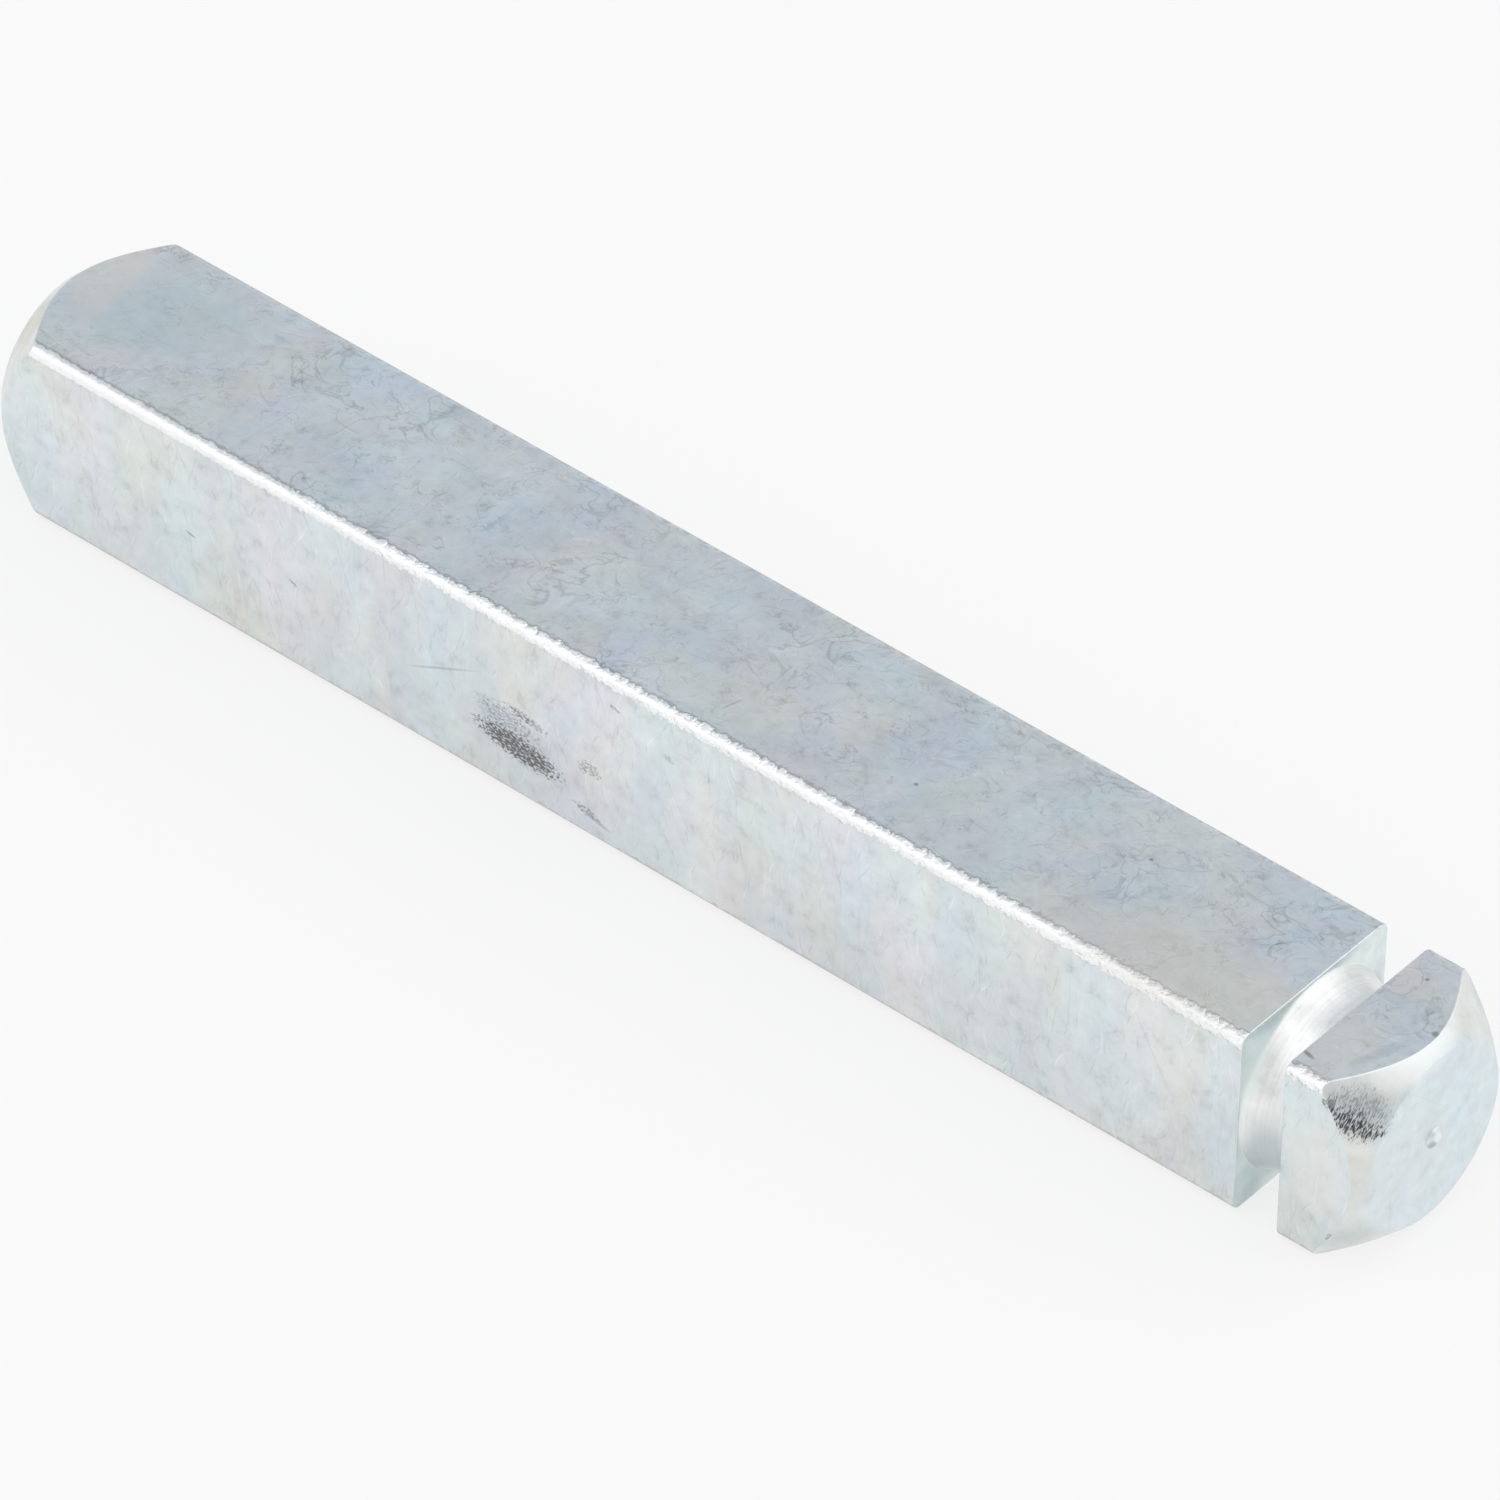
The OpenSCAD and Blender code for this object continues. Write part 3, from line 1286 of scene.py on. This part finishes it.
        # Turns of the surface at an edge, in degrees, and the width of the break there
        breaks = ((30, 60, self.blunt_break), (60, 120, self.square_break))
        for least, most, width in breaks:
            convex = [e for e in shape.edges if e.is_convex]
            sharp = [e for e in convex if least < math.degrees(e.calc_face_angle()) <= most]
            bmesh.ops.bevel(
                shape,
                geom=sharp,
                offset=width,
                affect="EDGES",
                segments=2,
                profile=0.5,
                material=-1,
                clamp_overlap=True,
            )
        bmesh.ops.scale(shape, vec=(MM, MM, MM), verts=shape.verts)
        bmesh.ops.translate(shape, vec=self.tail, verts=shape.verts)
        for face in shape.faces:
            face.smooth = True
        shape.to_mesh(body.data)
        shape.free()

    def build(self) -> bpy.types.Object:
        """Makes the finished spindle.

        Returns:
            The spindle's object, at the origin.
        """
        body = bpy.data.objects.new("zinc_spindle", bpy.data.meshes.new("zinc_spindle"))
        bpy.context.scene.collection.objects.link(body)
        # One empty slot for each skin, so that the cuts keep each face's own
        for _ in Skin:
            body.data.materials.append(None)
        bar = self.drawn_bar()
        bar.to_mesh(body.data)
        bar.free()
        self.combine(body, self.turned_form(), Cut.COMMON)
        self.combine(body, self.parting_pip(), Cut.JOIN)
        self.break_edges(body)
        even = body.modifiers.new("even_normals", "WEIGHTED_NORMAL")
        even.keep_sharp = True
        return body

    def dress(self, body: bpy.types.Object) -> None:
        """Gives the drawn and the turned faces their finish.

        Args:
            body: The spindle's object.
        """
        drawn = DrawnZinc(
            "zinc_plate_on_drawn_flats",
            FLAT_SCRATCHES,
            FLAT_MARKS,
            colour="#DEE4E6",
            film=((0.17, 0.0, -0.17), (-0.02, 0.11, -0.02), (0.2, 0.2, 0.2)),
            edge_start=self.across_flats / 2 - self.edge_radius,
        )
        turned = TurnedZinc(
            "zinc_plate_on_turned_faces",
            TURNED_SCRATCHES,
            TURNED_MARKS,
            colour="#E1EAEE",
            film=((0.11, 0.0, -0.11), (-0.01, 0.07, -0.01), (0.06, 0.06, 0.06)),
            roughness=0.36,
            curl_shade=(0.035, 0.05),
            smudge_shade=0.03,
            streak=(0.2, 0.06, 0.06),
            streak_turn=(0.0, 0.89, -1.571),
            face_radius=self.face_radius,
            neck_middle=self.neck_end - self.neck_width / 2,
            neck_width=self.neck_width,
        )
        body.data.materials[Skin.DRAWN.value] = drawn.material(self.tail)
        body.data.materials[Skin.TURNED.value] = turned.material(self.tail)
        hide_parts("spindle")
        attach(body, "root")


@dataclass(frozen=True)
class SoftBox:
    """One soft box that faces the part.

    Attributes:
        name: Name of the lamp.
        towards: Direction from the part to the lamp.
        reach: Distance of the lamp, in metres.
        size: Width and height of the lamp, in metres.
        watts: Power of the lamp.
    """

    name: str
    towards: tuple[float, float, float]
    reach: float
    size: tuple[float, float]
    watts: float

    def hang(self) -> None:
        """Hangs the lamp in its place."""
        lamp = bpy.data.lights.new(self.name, "AREA")
        lamp.shape = "RECTANGLE"
        lamp.size, lamp.size_y = self.size
        lamp.energy = self.watts
        holder = bpy.data.objects.new(self.name, lamp)
        direction = Vector(self.towards).normalized()
        holder.location = direction * self.reach
        holder.rotation_euler = direction.to_track_quat("Z", "Y").to_euler()
        bpy.context.scene.collection.objects.link(holder)


@dataclass
class Studio:
    """White table, soft boxes, room light and camera.

    Attributes:
        floor_m: Width of the floor, in metres.
        floor_white: Colour of the table.
        floor_glow: Share of the table's white that is lit from below, where shadows don't reach.
        lamps: Soft boxes, one in front on the left and one above at the back.
        sides_light: Strength of the room's light from the sides.
        overhead_light: Strength of its light from overhead, on the left and on the right.
        left_tint: Tint of its light from the left.
        right_tint: Tint of its light from the right.
        left_to_right: Directions along x between which the light changes.
        sides_to_top: Directions along z between which the light changes.
        azimuth: Camera's turn round the part, in degrees, with 0 looking along +Y.
        elevation: Camera's height above the horizon, in degrees.
        roll: Camera's turn about its own axis, in degrees.
        distance: Distance from the camera to the point that it looks at.
        aim: Point that the camera looks at.
        lens: Focal length.
        sensor: Width of the camera's sensor.
    """

    floor_m: float = 6.0
    floor_white: str = "#ECECEA"
    floor_glow: float = 0.74
    lamps: tuple[SoftBox, ...] = (
        SoftBox("key_front_left", towards=(-0.47, -0.7, 0.815), reach=0.9, size=(1.1, 1.56), watts=2.4),
        SoftBox("top_back_right", towards=(0.5, 0.58, 0.55), reach=0.9, size=(1.2, 1.0), watts=1.5),
    )
    sides_light: float = 0.72
    overhead_light: tuple[float, float] = (0.42, 1.05)
    left_tint: tuple[float, float, float, float] = (0.96, 1.0, 1.065, 1.0)
    right_tint: tuple[float, float, float, float] = (1.0, 1.0, 1.0, 1.0)
    left_to_right: tuple[float, float] = (-0.35, 0.0)
    sides_to_top: tuple[float, float] = (0.6, 0.9)
    azimuth: float = 39.58
    elevation: float = 41.487
    roll: float = 1.039
    distance: float = 501.56
    aim: tuple[float, float, float] = (1.152, -0.175, 4.5)
    lens: float = 306.18
    sensor: float = 36.0

    def floor(self) -> None:
        """Lays the pale table, which glows for the camera and in reflections."""
        shape = bmesh.new()
        bmesh.ops.create_grid(shape, x_segments=1, y_segments=1, size=self.floor_m / 2)
        table = bpy.data.objects.new("floor", bpy.data.meshes.new("floor"))
        shape.to_mesh(table.data)
        shape.free()
        bpy.context.scene.collection.objects.link(table)
        # Opal acrylic, lit from below: a matt white that keeps a faint shadow
        acrylic = bpy.data.materials.new("white_acrylic_table")
        acrylic.use_nodes = True
        tree = acrylic.node_tree
        shader = tree.nodes["Principled BSDF"]
        feed(
            tree,
            shader,
            {"Base Color": linear(self.floor_white), "Roughness": 0.9, "Specular IOR Level": 0.1},
        )
        rays = add_node(tree, "ShaderNodeLightPath").node.outputs
        mirrored = add_node(
            tree,
            "ShaderNodeMath",
            {0: rays["Is Glossy Ray"], 1: rays["Is Transmission Ray"]},
            operation="MAXIMUM",
        )
        seen = add_node(
            tree, "ShaderNodeMath", {0: mirrored, 1: rays["Is Camera Ray"]}, operation="MAXIMUM"
        )
        share = add_node(tree, "ShaderNodeMath", {0: seen, 1: self.floor_glow}, operation="MULTIPLY")
        glow = add_node(tree, "ShaderNodeEmission", {"Color": (1.0, 1.0, 1.0, 1.0), "Strength": 1.0})
        both = add_node(tree, "ShaderNodeMixShader", {0: share, 1: shader.outputs[0], 2: glow})
        feed(tree, tree.nodes["Material Output"], {"Surface": both})
        table.data.materials.append(acrylic)

    def room(self) -> None:
        """Fills the room with grey light, and overhead from dark on the left to white on the right."""
        room = bpy.data.worlds.new("room")
        room.use_nodes = True
        tree = room.node_tree
        towards = add_node(tree, "ShaderNodeTexCoord", out="Generated")
        split = add_node(tree, "ShaderNodeSeparateXYZ", {0: towards}).node.outputs
        left, right = self.left_to_right
        dark, white = self.overhead_light
        overhead = add_node(
            tree,
            "ShaderNodeMapRange",
            {"Value": split["X"], "From Min": left, "From Max": right, "To Min": dark, "To Max": white},
            interpolation_type="SMOOTHSTEP",
        )
        sides, top = self.sides_to_top
        strength = add_node(
            tree,
            "ShaderNodeMapRange",
            {
                "Value": split["Z"],
                "From Min": sides,
                "From Max": top,
                "To Min": self.sides_light,
                "To Max": overhead,
            },
            interpolation_type="SMOOTHSTEP",
        )
        rightness = add_node(
            tree, "ShaderNodeMapRange", {"Value": split["X"], "From Min": left, "From Max": right}
        )
        colour = add_node(
            tree,
            "ShaderNodeMix",
            {"Factor": rightness, MIX_A: self.left_tint, MIX_B: self.right_tint},
            out=MIX_RESULT,
            data_type="RGBA",
        )
        feed(tree, tree.nodes["Background"], {"Color": colour, "Strength": strength})
        bpy.context.scene.world = room

    def camera(self) -> None:
        """Sets the camera at the photograph's viewing angle."""
        data = bpy.data.cameras.new("camera")
        data.lens = self.lens
        data.sensor_width = self.sensor
        data.clip_end = 20.0
        seat = bpy.data.objects.new("camera", data)
        tilt = Matrix.Rotation(math.radians(90 - self.elevation), 4, "X")
        turn = Matrix.Rotation(math.radians(self.azimuth), 4, "Z")
        roll = Matrix.Rotation(math.radians(self.roll), 4, "Z")
        back = Matrix.Translation((0, 0, self.distance * MM))
        seat.matrix_world = Matrix.Translation(Vector(self.aim) * MM) @ turn @ tilt @ roll @ back
        bpy.context.scene.collection.objects.link(seat)
        bpy.context.scene.camera = seat


def main() -> None:
    """Builds the spindle and its studio, and logs its face count."""
    logging.basicConfig(level=logging.INFO, format="%(name)s: %(message)s")
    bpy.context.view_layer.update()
    bpy.context.scene.view_settings.view_transform = "Standard"
    studio = Studio()
    studio.camera()
    studio.room()
    for lamp in studio.lamps:
        lamp.hang()
    studio.floor()
    LOG.info("studio set")
    spindle = Spindle(*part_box("spindle"))
    body = spindle.build()
    spindle.dress(body)
    turned_faces = sum(f.material_index == Skin.TURNED.value for f in body.data.polygons)
    LOG.info("%s: %d faces, of which the lathe made %d", body.name, len(body.data.polygons), turned_faces)


if __name__ == "__main__":
    main()
